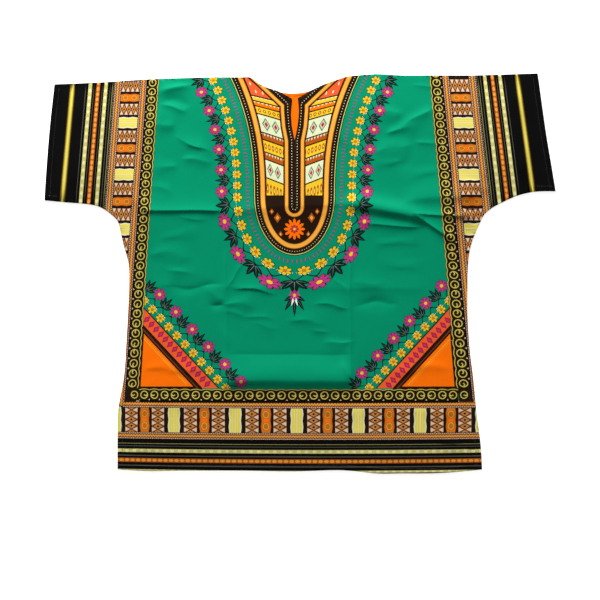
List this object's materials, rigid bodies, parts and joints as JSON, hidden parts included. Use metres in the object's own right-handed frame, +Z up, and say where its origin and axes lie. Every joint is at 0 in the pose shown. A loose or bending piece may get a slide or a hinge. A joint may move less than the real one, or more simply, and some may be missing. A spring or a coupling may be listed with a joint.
{
  "type": "dashiki shirt",
  "caption": "Wide pull-over shirt in printed cotton, laid out flat with its front up, with half sleeves, a slit neck and side vents.",
  "frame": {"origin": "under the middle of the shirt's box, on the surface that it lies on", "axes": "+X across the shirt along the sleeves, to the right seen from above with the neck away from the viewer; +Y from the hem to the shoulders; +Z up out of the front"},
  "size_m": [0.9914, 0.7764, 0.0089],
  "materials": {
    "cotton_front": "matt plain-weave cotton with a faint sheen, green ground under a print of black, orange, cream, ochre and magenta",
    "cotton_back": "matt plain-weave cotton with a faint sheen, orange inside the neck, the same printed cotton outside"
  },
  "bodies": {
    "root": {"front_panel": "cotton_front", "back_panel": "cotton_back"}
  },
  "joints": []
}
